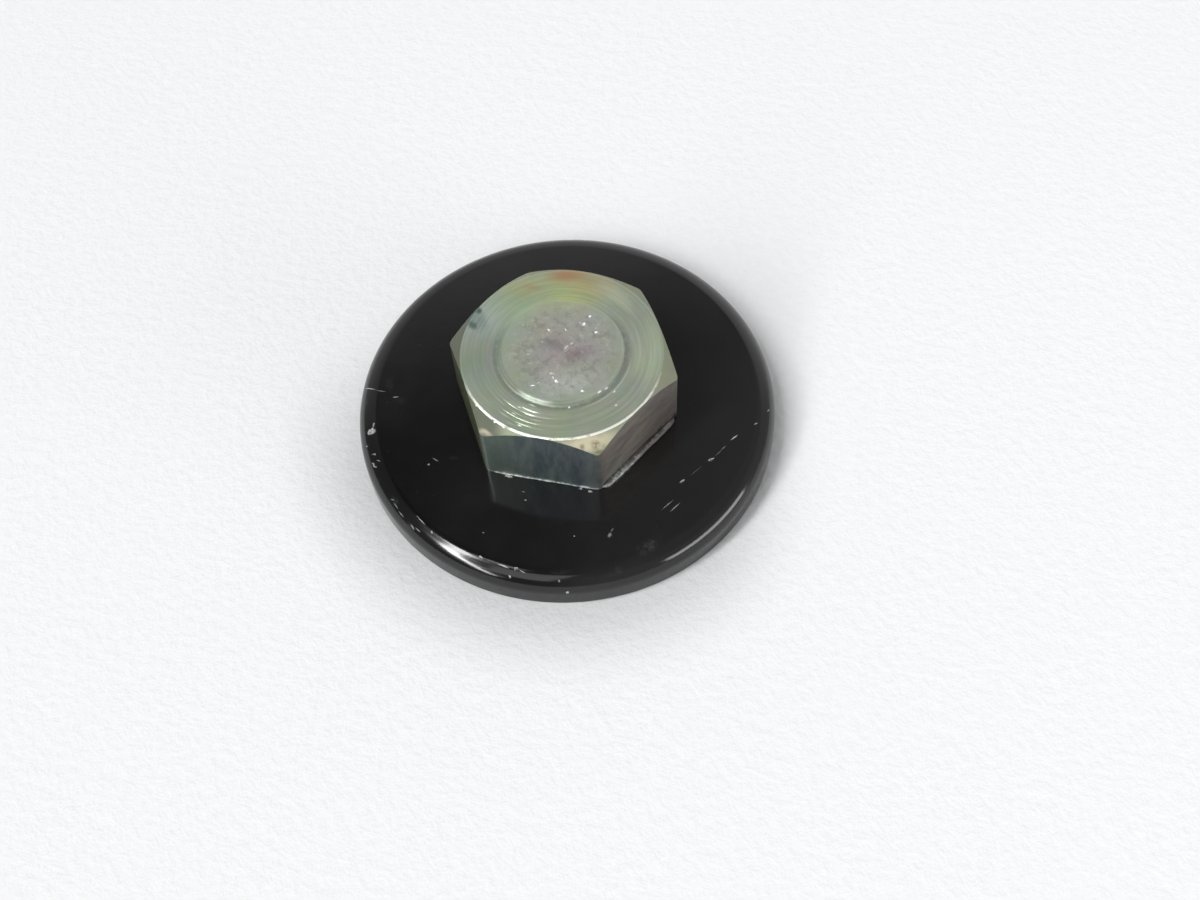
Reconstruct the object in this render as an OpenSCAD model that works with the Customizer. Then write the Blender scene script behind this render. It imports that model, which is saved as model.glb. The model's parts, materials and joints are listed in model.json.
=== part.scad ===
// Screw-on filler cap for a gearbox: a pressed steel lid with a rolled-over edge, a blind
// hexagonal nut that is swaged into the middle of the lid, and a rubber sealing ring under it.
// Units are millimetres. The axis is Z, the lid's rim stands on z = 0, and two of the
// hexagon's corners lie on the X axis.

/* [Lid] */
// Outside diameter of the lid
lid_d = 64; // [58:0.5:90]
// Height of the lid, from the edge of its rim to its flat top
lid_h = 6; // [5.6:0.1:12]
// Thickness of the sheet that the lid is pressed from
sheet_t = 1.5; // [1:0.1:1.8]
// Outer radius of the bend between the flat top and the rim
bend_r = 3; // [2.4:0.1:4]
// Radius that breaks both edges of the sheared rim
rim_edge_r = 0.4; // [0.1:0.05:0.45]

/* [Nut, outside] */
// Width of the hexagon across its flats
hex_af = 30; // [27:0.5:36]
// Height of the nut's faced top above the lid
hex_h = 12; // [9:0.1:20]
// How far the worn upright corners lie inside a sharp hexagon's corners
corner_inset = 0.15; // [0.05:0.05:0.6]
// How far the faced top's edge lies inside the flats
chamfer_inset = 0.1; // [0.05:0.05:2]
// Slope of the corner chamfer below the faced top, in degrees
chamfer_angle = 45; // [15:1:50]
// Diameter of the raw disc that stands up in the middle of the top
disc_d = 18.3; // [10:0.1:22]
// Height of the disc above the faced top
disc_rise = 0.45; // [0.1:0.05:1]
// Width of the slope round the disc
disc_slope_w = 0.35; // [0.1:0.05:1.5]

/* [Nut, thread] */
// Inside diameter of the thread, at its crests
thread_minor_d = 14.4; // [12:0.1:16]
// Diameter of the countersink at the thread's mouth
thread_mouth_d = 16.4; // [16.2:0.1:18]
// Width of the chamfer round the blind end
blind_chamfer = 0.8; // [0.3:0.1:1.5]
// Metal left between the blind end and the faced top
roof_t = 3; // [1.2:0.1:4]

/* [Nut, swaged neck] */
// Diameter of the neck that passes through the lid
neck_d = 22; // [21:0.1:25]
// Thickness of the neck's wall where it is rolled over
flare_t = 1.4; // [1:0.1:1.8]
// How far the rolled flare reaches out past the neck
flare_reach = 2.6; // [2:0.1:4]
// Inner radius of the roll, which is also the radius on the edge of the lid's hole
flare_bend_r = 0.6; // [0.3:0.1:0.8]
// How far the thin wall reaches up from the lid's underside
thin_wall_h = 1; // [0.9:0.1:2]
// Clearance between the neck and the lid's hole
neck_gap = 0.1; // [0.05:0.05:0.3]

/* [Sealing ring] */
// Inside diameter of the ring
ring_inner_d = 45; // [34:0.5:52]
// Thickness of the ring
ring_t = 3; // [2:0.1:3.8]
// Clearance between the ring and the lid's rim
ring_gap = 0.15; // [0.05:0.05:0.5]
// Radius that softens the ring's moulded edges
ring_edge_r = 0.4; // [0.1:0.1:0.8]

/* [Hidden] */
$fn = 96;

// Cutters run this far past the faces that they cut
past = 1;

lid_r = lid_d / 2;
lid_inner_r = lid_r - sheet_t;
bend_inner_r = bend_r - sheet_t;
underside_z = lid_h - sheet_t;

neck_r = neck_d / 2;
hole_r = neck_r + neck_gap;
flare_r = neck_r + flare_reach;
flare_z = underside_z - flare_t;
thin_wall_z = underside_z + thin_wall_h;

sharp_corner_r = hex_af / 2 / cos(30);
hex_corner_r = sharp_corner_r - corner_inset;
hex_top_z = lid_h + hex_h;
faced_top_r = hex_af / 2 - chamfer_inset;
thread_minor_r = thread_minor_d / 2;
thread_mouth_r = thread_mouth_d / 2;
blind_z = hex_top_z - roof_t;

ring_inner_r = ring_inner_d / 2;
ring_outer_r = lid_inner_r - ring_gap;
ring_z = underside_z - ring_t;

// Rectangle in the half section, from the axis out to radius r, with its upper outer corner rounded
module rounded_half(r, z_low, z_high, corner_r) {
    translate([0, z_low])
        square([r, z_high - corner_r - z_low]);
    translate([0, z_low])
        square([r - corner_r, z_high - z_low]);
    translate([r - corner_r, z_high - corner_r])
        circle(corner_r);
}

// What comes off a square corner at the origin to round it, for material towards +X and +Y
module corner_waste(r) {
    difference() {
        translate([-past, -past])
            square(r + past);
        translate([r, r])
            circle(r);
    }
}

// Lid: a shallow pressed cup, open below, with a hole for the nut's neck
module lid_section() {
    difference() {
        rounded_half(lid_r, 0, lid_h, bend_r);
        rounded_half(lid_inner_r, -past, underside_z, bend_inner_r);
        square([hole_r, lid_h + past]);
        translate([hole_r, underside_z])
            corner_waste(flare_bend_r);
        translate([lid_inner_r, 0])
            corner_waste(rim_edge_r);
        translate([lid_r, 0])
            mirror([1, 0])
                corner_waste(rim_edge_r);
    }
}

module lid() {
    color([0.07, 0.07, 0.08])
        rotate_extrude()
            lid_section();
}

// Hexagonal prism, rounded at its upright corners and turned to a cone at its upper ones
module chamfered_hexagon() {
    drop = (hex_corner_r - faced_top_r) * tan(chamfer_angle);
    intersection() {
        translate([0, 0, lid_h])
            cylinder(h = hex_h, r = sharp_corner_r, $fn = 6);
        rotate_extrude()
            polygon([
                [0, lid_h - past],
                [hex_corner_r, lid_h - past],
                [hex_corner_r, hex_top_z - drop],
                [faced_top_r, hex_top_z],
                [0, hex_top_z],
            ]);
    }
}

// Raw disc that the facing cut leaves standing in the middle of the top, down to the blind end
module disc_section() {
    disc_r = disc_d / 2;
    polygon([
        [0, blind_z],
        [disc_r, blind_z],
        [disc_r + disc_slope_w, hex_top_z],
        [disc_r, hex_top_z + disc_rise],
        [0, hex_top_z + disc_rise],
    ]);
}

// Neck through the lid, with its end rolled outwards against the lid's underside
module neck_section() {
    rolled_r = flare_t / 2;
    translate([0, flare_z])
        square([neck_r, lid_h + past - flare_z]);
    translate([0, flare_z])
        square([flare_r - rolled_r, flare_t]);
    translate([flare_r - rolled_r, flare_z + rolled_r])
        circle(rolled_r);
    difference() {
        translate([0, flare_z])
            square([neck_r + flare_bend_r, flare_t + flare_bend_r]);
        translate([neck_r + flare_bend_r, underside_z + flare_bend_r])
            circle(flare_bend_r);
    }
}

// Space inside the nut: the trumpet of the flare, the thin wall's bore and the blind thread
module bore_section() {
    difference() {
        translate([0, flare_z - past])
            square([neck_r + flare_bend_r, past + flare_t + flare_bend_r]);
        translate([neck_r + flare_bend_r, underside_z + flare_bend_r])
            circle(flare_bend_r + flare_t);
    }
    translate([0, flare_z])
        square([neck_r - flare_t, thin_wall_z - flare_z]);
    polygon([
        [0, flare_z],
        [thread_mouth_r, flare_z],
        [thread_mouth_r, thin_wall_z],
        [thread_minor_r, thin_wall_z + thread_mouth_r - thread_minor_r],
        [thread_minor_r, blind_z - blind_chamfer],
        [thread_minor_r - blind_chamfer, blind_z],
        [0, blind_z],
    ]);
}

module hex_nut() {
    color([0.56, 0.6, 0.5])
        difference() {
            union() {
                chamfered_hexagon();
                rotate_extrude()
                    disc_section();
                rotate_extrude()
                    neck_section();
            }
            rotate_extrude()
                bore_section();
        }
}

// Flat sealing ring, seated under the lid's top, its outer upper edge following the lid's bend
module ring_section() {
    difference() {
        rounded_half(ring_outer_r, ring_z, underside_z, max(bend_inner_r, ring_edge_r));
        translate([0, ring_z - past])
            square([ring_inner_r, ring_t + 2 * past]);
        translate([ring_inner_r, ring_z])
            corner_waste(ring_edge_r);
        translate([ring_inner_r, underside_z])
            mirror([0, 1])
                corner_waste(ring_edge_r);
        translate([ring_outer_r, ring_z])
            mirror([1, 0])
                corner_waste(ring_edge_r);
    }
}

module sealing_ring() {
    color([0.15, 0.15, 0.15])
        rotate_extrude()
            ring_section();
}

lid();
hex_nut();
sealing_ring();
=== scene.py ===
"""Dresses a screw-on filler cap: gloss black paint with chips and scratches on the pressed lid,
iridescent zinc plating and turning marks on the blind nut, moulded rubber on the seal.

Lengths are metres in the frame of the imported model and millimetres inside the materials. Marks
are placed in the viewer's frame: x to the right and y away from the camera, seen from above.
"""
import json
import math

import bmesh
import bpy
from mathutils import Matrix, Vector, noise


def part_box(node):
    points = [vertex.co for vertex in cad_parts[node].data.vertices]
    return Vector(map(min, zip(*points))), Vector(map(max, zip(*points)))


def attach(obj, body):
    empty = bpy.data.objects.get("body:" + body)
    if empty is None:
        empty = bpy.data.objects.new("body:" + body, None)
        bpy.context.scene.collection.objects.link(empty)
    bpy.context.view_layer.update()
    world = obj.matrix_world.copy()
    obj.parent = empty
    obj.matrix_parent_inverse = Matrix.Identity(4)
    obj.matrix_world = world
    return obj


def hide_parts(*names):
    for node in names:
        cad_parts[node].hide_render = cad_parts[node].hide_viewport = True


bl_info = {
    "name": "Filler cap looks",
    "version": (1, 0, 0),
    "blender": (4, 5, 0),
    "location": "3D View > Sidebar > Filler cap",
    "description": "Models and finishes the lid, the nut and the seal of a filler cap",
    "category": "Object",
}

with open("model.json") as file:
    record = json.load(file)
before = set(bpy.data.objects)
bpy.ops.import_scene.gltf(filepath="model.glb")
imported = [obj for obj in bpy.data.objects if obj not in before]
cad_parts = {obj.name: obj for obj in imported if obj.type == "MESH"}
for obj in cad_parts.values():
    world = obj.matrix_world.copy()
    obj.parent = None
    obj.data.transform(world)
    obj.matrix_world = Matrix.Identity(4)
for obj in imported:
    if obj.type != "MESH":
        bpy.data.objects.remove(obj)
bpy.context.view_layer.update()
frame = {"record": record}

MM = 0.001
LID_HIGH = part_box("lid")[1]
NUT_LOW, NUT_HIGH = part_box("hex_nut")
SEAL_LOW, SEAL_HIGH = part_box("sealing_ring")

# Thread of the stud: radius at its crests and heights of its ends
STUD = {mount["name"]: mount for mount in frame["record"]["mounts"]}["stud_thread"]
THREAD_CREST = STUD["dims"]["r_mm"] * MM
THREAD_LOW = STUD["pos_m"][2] - STUD["dims"]["length_mm"] * MM / 2
THREAD_HIGH = STUD["pos_m"][2] + STUD["dims"]["length_mm"] * MM / 2

BODY = "root"
HEX_SIDES = 6
HALF_SIDE_ANGLE = math.pi / HEX_SIDES
FULL_TURN = 2 * math.pi


# Settings that a user would change

def length(name, description, millimetres):
    """Property for a length, whose default is given in millimetres."""
    return bpy.props.FloatProperty(
        name=name, description=description, default=millimetres * MM, subtype="DISTANCE", unit="LENGTH",
        precision=5)


def angle(name, description, degrees):
    """Property for an angle, whose default is given in degrees."""
    return bpy.props.FloatProperty(
        name=name, description=description, default=math.radians(degrees), subtype="ANGLE",
        unit="ROTATION")


def linear(red, green, blue):
    """Linear colour of an 8-bit display colour."""
    def channel(value):
        value /= 255
        return value / 12.92 if value <= 0.04045 else ((value + 0.055) / 1.055) ** 2.4
    return channel(red), channel(green), channel(blue)


def colour(name, description, red, green, blue):
    """Property for a colour, whose default is given as 8-bit display values."""
    return bpy.props.FloatVectorProperty(
        name=name, description=description, default=linear(red, green, blue), subtype="COLOR",
        size=3, min=0, max=1)


class CapLidSettings(bpy.types.PropertyGroup):
    """Sizes and colours of the pressed lid."""
    sheet: length("Sheet", "Thickness of the steel sheet", 1.5)
    bend: length("Bend", "Outer radius of the bend into the rim", 3)
    rim_edge: length("Rim edge", "Radius on the sheared edge of the rim", 0.4)
    hole: length("Hole", "Radius of the hole for the nut's neck", 11.1)
    hole_edge: length("Hole edge", "Radius on the lower edge of the hole", 0.6)
    steps: bpy.props.IntProperty(name="Steps", description="Facets round the lid", default=320, min=48)
    paint: colour("Paint", "Gloss paint", 10, 10, 11)
    bare: colour("Chips", "Primer and steel under the chipped paint", 192, 194, 190)


class CapNutSettings(bpy.types.PropertyGroup):
    """Sizes and colours of the blind nut."""
    flat_top: length("Flat top", "Radius of the faced top inside the corner chamfer", 14.9)
    chamfer: angle("Chamfer", "Slope of the corner chamfer", 45)
    chamfer_edge: length("Chamfer edge", "Reach of the rounding on the faced top's edge", 0.3)
    corner: length("Corner", "Radius on the upright corners of the hexagon", 1.0)
    disc: length("Disc", "Radius of the raw disc in the middle of the top", 9.15)
    disc_rise: length("Disc rise", "Height of the disc above the faced ring", 0.45)
    disc_slope: length("Disc slope", "Width of the steep slope round the disc", 0.35)
    disc_edge: length("Disc edge", "Reach of the rounding on the disc's upper edge", 0.18)
    gutter: length("Gutter", "Width of the shallow gutter that the facing cut left round the disc", 0.6)
    gutter_depth: length("Gutter depth", "Depth of that gutter", 0.035)
    groove_pitch: length("Groove pitch", "Distance between the facing grooves", 0.62)
    groove_depth: length("Groove depth", "Depth of the worn facing grooves", 0.012)
    chatter_depth: length("Chatter depth", "Added depth where the cutter chattered", 0.15)
    neck: length("Neck", "Radius of the neck in the lid's hole", 11)
    flare_wall: length("Flare wall", "Thickness of the rolled flare", 1.4)
    flare_bend: length("Flare bend", "Inner radius of the roll", 0.6)
    thread_pitch: length("Thread pitch", "Pitch of the stud's thread", 1.5)
    steps: bpy.props.IntProperty(name="Steps", description="Facets round the nut", default=288, min=48)
    plating: colour("Plating", "Green-grey zinc passivation", 156, 166, 145)
    rust: colour("Rust", "Rust at the top's far edge", 166, 124, 86)


class CapSealSettings(bpy.types.PropertyGroup):
    """Sizes and colours of the sealing ring."""
    inner: length("Inner radius", "Inside radius of the ring", 22.5)
    edge: length("Edge", "Radius on the moulded edges", 0.4)
    shoulder: length("Shoulder", "Radius that follows the lid's bend", 1.5)
    steps: bpy.props.IntProperty(name="Steps", description="Facets round the ring", default=256, min=48)
    rubber: colour("Rubber", "Oiled black rubber", 34, 34, 35)


class CapStageSettings(bpy.types.PropertyGroup):
    """Camera, floor and light."""
    azimuth: angle("Azimuth", "Camera's place round the cap", 14.86)
    elevation: angle("Elevation", "Camera's height above the horizon", 59.09)
    roll: angle("Roll", "Camera's turn about its own axis", -3.39)
    distance: length("Distance", "From the frame's origin to the camera along its view", 234.43)
    aside: length("Aside", "Camera's shift to its right", 5.04)
    above: length("Above", "Camera's shift along its own upward axis", -5.13)
    floor: colour("Floor", "Pale floor", 226, 227, 228)
    light: bpy.props.FloatProperty(name="Light", description="Level of the lamps", default=1, min=0)


# Materials

MARK_DEPTH = 3


class Signal:
    """A socket of a material's nodes. Arithmetic on it adds Math nodes."""

    def __init__(self, finish, socket):
        self.finish = finish
        self.socket = socket

    def math(self, operation, *values):
        """Math node on values, this signal among them."""
        return self.finish.node("ShaderNodeMath", {"operation": operation}, dict(enumerate(values)))

    def __add__(self, other):
        return self.math("ADD", self, other)

    __radd__ = __add__

    def __sub__(self, other):
        return self.math("SUBTRACT", self, other)

    def __rsub__(self, other):
        return self.math("SUBTRACT", other, self)

    def __mul__(self, other):
        return self.math("MULTIPLY", self, other)

    __rmul__ = __mul__

    def at_least(self, other):
        """The larger of the two."""
        return self.math("MAXIMUM", self, other)

    def ramp(self, low, high):
        """Smooth step from 0 at low to 1 at high, or falling where low is above high."""
        return self.finish.node(
            "ShaderNodeMapRange", {"interpolation_type": "SMOOTHSTEP"},
            {"Value": self, "From Min": low, "From Max": high})


class Finish:
    """A procedural material, or the world, while its nodes are written."""

    def __init__(self, tree):
        self.tree = tree

    def node(self, kind, settings=None, inputs=None, output=0):
        """Adds a node: its settings first, then the values or links of its sockets."""
        made = self.tree.nodes.new(kind)
        for name, value in (settings or {}).items():
            setattr(made, name, value)
        for key, value in (inputs or {}).items():
            if isinstance(value, Signal):
                self.tree.links.new(value.socket, made.inputs[key])
            else:
                made.inputs[key].default_value = value
        return Signal(self, made.outputs[output])

    def mix(self, factor, first, second, blend="MIX"):
        """Colour from first to second as factor goes from 0 to 1. A tuple is an 8-bit colour."""
        inputs = {0: factor}
        for key, shade in ((6, first), (7, second)):
            flat = linear(*shade) if isinstance(shade, tuple) else shade
            inputs[key] = flat if isinstance(flat, Signal) else (*flat, 1)
        return self.node("ShaderNodeMix", {"data_type": "RGBA", "blend_type": blend}, inputs, output=2)

    def vector(self, operation, first, second=(0, 0, 0), output=0):
        """Vector Math node."""
        return self.node("ShaderNodeVectorMath", {"operation": operation}, {0: first, 1: second}, output)

    def viewer_frame(self, azimuth, source="Object", scale=1 / MM):
        """Place on the object in millimetres, x to the viewer's right and y away from the viewer."""
        place = self.node("ShaderNodeTexCoord", output=source)
        return self.node(
            "ShaderNodeMapping", {"vector_type": "POINT"},
            {"Vector": place, "Rotation": (0, 0, -azimuth), "Scale": (scale,) * 3})

    def grain(self, here, scale, detail=3.0, roughness=0.5, output="Fac"):
        """Noise with scale cells in each millimetre, around a half."""
        return self.node(
            "ShaderNodeTexNoise", None,
            {"Vector": here, "Scale": scale, "Detail": detail, "Roughness": roughness}, output)

    def wander(self, here, scale, reach):
        """The place moved by up to about reach, which frays the outline of what is drawn on it."""
        drift = self.grain(here, scale, 2.0, 0.6, output="Color")
        centred = self.vector("SUBTRACT", drift, (0.5, 0.5, 0.5))
        return self.vector("ADD", here, self.vector("MULTIPLY", centred, (2 * reach,) * 3))

    def mark(self, here, place, half_size, turn=0.0, inner=0.6):
        """Soft oval mark: 1 in its middle and 0 from its outline, at place, turned in degrees.

        A half size of two numbers gets MARK_DEPTH along the axis. A gradient measures the distance,
        because with a Vector Math node here many marks overflow the renderer's stack, and it then
        paints the piece black.
        """
        local = self.node(
            "ShaderNodeMapping", {"vector_type": "TEXTURE"},
            {"Vector": here, "Location": place, "Rotation": (0, 0, math.radians(turn)),
             "Scale": (*half_size, MARK_DEPTH)[:3]})
        closeness = self.node(
            "ShaderNodeTexGradient", {"gradient_type": "SPHERICAL"}, {"Vector": local}, "Fac")
        return closeness.ramp(0.0, 1.0 - inner)

    def marks(self, here, table, inner=0.6):
        """The strongest of many marks, each given as place, half size, turn and strength."""
        total = None
        for place, half_size, turn, strength in table:
            one = self.mark(here, place, half_size, turn, inner) * strength
            total = one if total is None else total.at_least(one)
        return total

    def axes(self, place):
        """The three coordinates of a place."""
        split = self.node("ShaderNodeSeparateXYZ", None, {0: place})
        return [Signal(self, socket) for socket in split.socket.node.outputs]

    def turned(self, here):
        """Distance from the cap's axis."""
        flat = self.vector("MULTIPLY", here, (1, 1, 0))
        return self.vector("LENGTH", flat, output="Value")

    def bump(self, height, strength=1.0):
        """Normal for a relief whose height is in millimetres."""
        return self.node(
            "ShaderNodeBump", None, {"Strength": strength, "Distance": MM, "Height": height})


def new_finish(name, constants):
    """Material with its Principled shader's constant sockets set."""
    material = bpy.data.materials.new(name)
    material.use_nodes = True
    shader = material.node_tree.nodes["Principled BSDF"]
    for socket, value in constants.items():
        shader.inputs[socket].default_value = value
    return material, Finish(material.node_tree)


def feed(finish, signals):
    """Links the signals that vary over the surface to the shader."""
    shader = finish.tree.nodes["Principled BSDF"]
    for socket, signal in signals.items():
        finish.tree.links.new(signal.socket, shader.inputs[socket])


# Damage to the paint, and a painted sheen among the scuffs, as place, half size (mm), turn (degrees)
# and strength, in the viewer's frame
PAINT_CHIPS = [
    ((-29.7, -4.2, 5.8), (0.7, 0.55, 1.2), 10, 1.0),
    ((-29.4, -3.2, 5.9), (0.14, 0.6, 1.0), -8, 0.9),
    ((-29.2, -8.1, 5.7), (0.4, 0.14, 0.8), -20, 0.7),
    ((-29.2, -9.9, 5.4), (0.7, 0.15, 0.8), -48, 0.7),
    ((-30.4, -6.4, 5.2), (0.25, 0.18, 0.6), 0, 0.6),
    ((-28.5, -9.4, 5.8), (0.3, 0.1, 0.5), -40, 0.5),
    ((-20.4, -22.0, 5.8), (0.2, 0.18, 0.5), 0, 0.9),
    ((-13.3, -26.6, 5.9), (0.4, 0.14, 0.5), -20, 0.8),
    ((-8.3, -28.7, 5.9), (0.3, 0.2, 0.5), -10, 0.8),
    ((-9.2, -29.6, 5.2), (0.18, 0.18, 0.5), 0, 0.8),
    ((-1.1, -31.9, 3.6), (0.3, 0.3, 0.3), 0, 1.0),
    ((-20.9, -10.7, 6.0), (0.2, 0.2, 0.5), 0, 1.0),
    ((21.1, -12.7, 6.0), (0.5, 0.2, 0.5), 28, 1.0),
    ((16.5, -16.1, 6.0), (0.5, 0.22, 0.5), 30, 0.9),
    ((-9.0, -13.5, 6.0), (0.75, 0.24, 0.5), -18, 1.0),
    ((1.5, -16.3, 6.0), (0.35, 0.22, 0.5), -25, 0.9),
    ((3.0, -16.9, 6.0), (0.3, 0.2, 0.5), -20, 0.8),
]
SCRATCHES = [
    ((-30.2, 3.8, 5.4), (1.5, 0.1, 1.5), -28, 1.0),
    ((-28.4, 3.0, 6.0), (1.0, 0.08, 0.5), -14, 0.4),
    ((-26.1, 1.7, 6.0), (0.6, 0.12, 0.5), 5, 0.6),
    ((-19.9, -9.9, 6.0), (0.7, 0.1, 0.5), -40, 0.5),
    ((-22.0, -20.0, 5.9), (1.3, 0.09, 0.6), -49, 0.8),
    ((-25.0, -18.4, 5.2), (0.9, 0.1, 0.8), -55, 0.35),
    ((-25.8, -17.0, 5.3), (0.8, 0.09, 0.8), -58, 0.35),
    ((-26.3, -16.0, 5.4), (0.5, 0.1, 0.8), -30, 0.35),
    ((-23.3, -20.6, 5.1), (0.7, 0.14, 0.8), -62, 0.45),
    ((-22.5, -21.2, 5.3), (0.7, 0.1, 0.8), -48, 0.45),
    ((-10.1, -28.2, 5.8), (1.1, 0.12, 0.6), -26, 1.0),
    ((-7.4, -29.2, 5.7), (0.7, 0.08, 0.6), -30, 0.8),
    ((14.1, -19.9, 6.0), (1.5, 0.07, 0.5), 40, 0.55),
    ((15.2, -20.35, 6.0), (1.3, 0.08, 0.5), 41, 0.7),
    ((24.9, -9.1, 6.0), (0.9, 0.13, 0.5), 35, 0.9),
    ((23.1, -10.8, 6.0), (0.7, 0.07, 0.5), 38, 0.4),
    ((22.3, -11.6, 6.0), (0.9, 0.06, 0.5), 40, 0.3),
    ((18.7, -14.5, 6.0), (1.6, 0.06, 0.5), 38, 0.15),
    ((28.4, -6.9, 6.0), (0.4, 0.12, 0.5), 30, 0.7),
    ((30.6, -4.3, 5.2), (0.5, 0.12, 0.5), 50, 0.6),
    ((5.4, -24.3, 6.0), (0.35, 0.55, 0.5), -25, 0.35),
    ((5.8, -23.5, 6.0), (0.15, 0.5, 0.5), -32, 0.25),
    ((0.3, -24.1, 6.0), (0.14, 0.14, 0.5), 0, 0.8),
    ((-12.9, -22.7, 6.0), (0.2, 0.14, 0.5), 0, 0.5),
    ((-2.2, -30.8, 5.3), (0.2, 0.25, 0.5), 0, 0.4),
    ((-6.9, -16.3, 6.0), (0.3, 0.12, 0.5), -30, 0.35),
    ((-6.6, -17.7, 6.0), (0.25, 0.2, 0.5), 0, 0.35),
]
SCUFFS_AND_SHEEN = [
    ((-27.1, 4.2, 6.0), (0.9, 1.5, 1.0), 10, 0.6),
    ((-25.4, 1.0, 6.0), (1.5, 1.2, 1.0), 0, 0.3),
    ((-24.2, -20.0, 5.2), (1.3, 0.9, 1.2), -45, 0.9),
    ((-26.0, -16.6, 5.4), (2.2, 0.9, 1.2), -55, 0.5),
    ((-17.3, -9.8, 6.0), (1.0, 0.7, 1.0), 0, 0.35),
    # Painted sheen on the lower right bend, where it would catch the light, rather than a scuff
    ((11.0, -26.4, 6.0), (3.0, 1.5, 1.0), 25, 0.95),
    ((6.1, -30.0, 5.5), (1.6, 0.8, 1.0), 10, 0.35),
    ((-2.5, -29.8, 5.7), (2.8, 0.9, 1.0), 0, 0.35),
    ((-30.9, 1.2, 5.0), (0.5, 1.5, 1.5), 0, 0.9),
    ((-28.9, -12.2, 4.9), (0.6, 1.2, 1.2), 25, 0.8),
]


def gloss_paint(settings, azimuth):
    """Gloss black paint with chips, scratches, scuffs and a painted sheen."""
    material, finish = new_finish("gloss_black_paint", {"IOR": 1.5, "Specular IOR Level": 0.5})
    mix = finish.mix
    here = finish.viewer_frame(azimuth)
    frayed = finish.wander(here, 1.6, 0.28)
    flaked = finish.grain(here, 2.6, 3.0, 0.6).ramp(0.36, 0.46)
    chips = finish.marks(frayed, PAINT_CHIPS, inner=0.7) * flaked
    bright_marks = finish.marks(finish.wander(here, 0.5, 0.12), SCRATCHES, inner=0.2)
    # The scuffs, one of them a painted sheen, lighten the paint towards blue-grey and roughen it
    scuffs_and_sheen = finish.marks(finish.wander(here, 0.6, 0.8), SCUFFS_AND_SHEEN, inner=0.0)
    rubbed_and_sheen = scuffs_and_sheen * finish.grain(here, 1.3, 6.0, 0.7).ramp(0.35, 0.75)
    haze = finish.grain(here, 0.05, 4.0, 0.6)
    dust = finish.grain(here, 2.2, 2.0, 0.7).ramp(0.71, 0.78)
    bare = mix(finish.grain(here, 1.7, 5.0), settings.bare, (112, 114, 112))
    coat = mix(haze.ramp(0.3, 0.7), settings.paint, (22, 21, 21))
    dust_and_sheen = mix(dust * 0.1 + rubbed_and_sheen * 0.16, coat, (130, 134, 140))
    scratched = mix(bright_marks * 0.75, dust_and_sheen, (205, 205, 205))
    worn = chips.at_least(bright_marks * 0.5)
    orange_peel = finish.grain(here, 0.5, 2.0, 0.5) * 0.006
    relief = orange_peel - chips * 0.05
    feed(finish, {
        "Base Color": mix(chips, scratched, bare),
        "Roughness": haze * 0.06 + 0.09 + worn * 0.3 + rubbed_and_sheen * 0.25 + dust * 0.05,
        "Metallic": chips * 0.3,
        "Normal": finish.bump(relief),
    })
    return material


# Colours of the passivation on top of the nut, as place, half size (mm), turn (degrees), strength
# and 8-bit colour, in the viewer's frame. The pale smear at (-5.2, -9.7) is a painted sheen.
PATINA_AND_SHEEN = [
    ((0.0, 13.0, 18.0), (13.0, 8.0), 0, 0.6, (176, 182, 142)),
    ((-7.4, 8.7, 18.0), (9.0, 6.5), 45, 0.85, (166, 188, 154)),
    ((-12.0, 6.0, 18.0), (6.0, 8.0), 10, 0.85, (176, 192, 186)),
    ((-5.0, 11.8, 18.0), (5.0, 3.6), 20, 0.7, (170, 169, 122)),
    ((2.0, 10.8, 18.0), (8.5, 4.6), -4, 0.85, (182, 188, 130)),
    ((4.9, 12.0, 18.0), (4.6, 3.4), -25, 0.6, (178, 173, 124)),
    ((7.0, 10.8, 18.0), (3.2, 3.0), -40, 0.6, (190, 178, 150)),
    ((8.8, 9.0, 18.0), (1.6, 5.0), 40, 0.8, (190, 197, 172)),
    ((-12.0, -0.6, 18.0), (5.0, 9.0), 0, 0.75, (136, 148, 134)),
    ((-10.6, -0.6, 18.0), (1.0, 7.5), 0, 0.6, (160, 155, 155)),
    ((0.0, -12.4, 18.0), (12.0, 4.4), 0, 0.55, (158, 172, 144)),
    # Painted sheen where the facing glints gather, not a colour of the passivation
    ((-5.2, -9.7, 18.0), (3.6, 1.3), -30, 0.5, (198, 208, 196)),
    ((-7.0, -10.6, 18.0), (5.0, 2.2), -34, 0.35, (140, 158, 134)),
    ((12.6, -1.6, 18.0), (4.4, 9.0), 0, 0.75, (180, 192, 168)),
    ((0.6, 0.6, 18.4), (10.5, 9.5), 0, 0.95, (167, 160, 159)),
    ((-5.8, -1.0, 18.4), (3.6, 3.8), 0, 0.6, (152, 160, 152)),
    ((-1.0, 1.2, 18.4), (3.2, 2.2), -20, 0.6, (124, 116, 118)),
    ((1.9, -1.2, 18.4), (3.8, 2.0), 30, 0.6, (130, 114, 116)),
    ((0.6, -5.7, 18.4), (8.0, 3.8), 0, 0.6, (188, 190, 186)),
]
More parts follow.
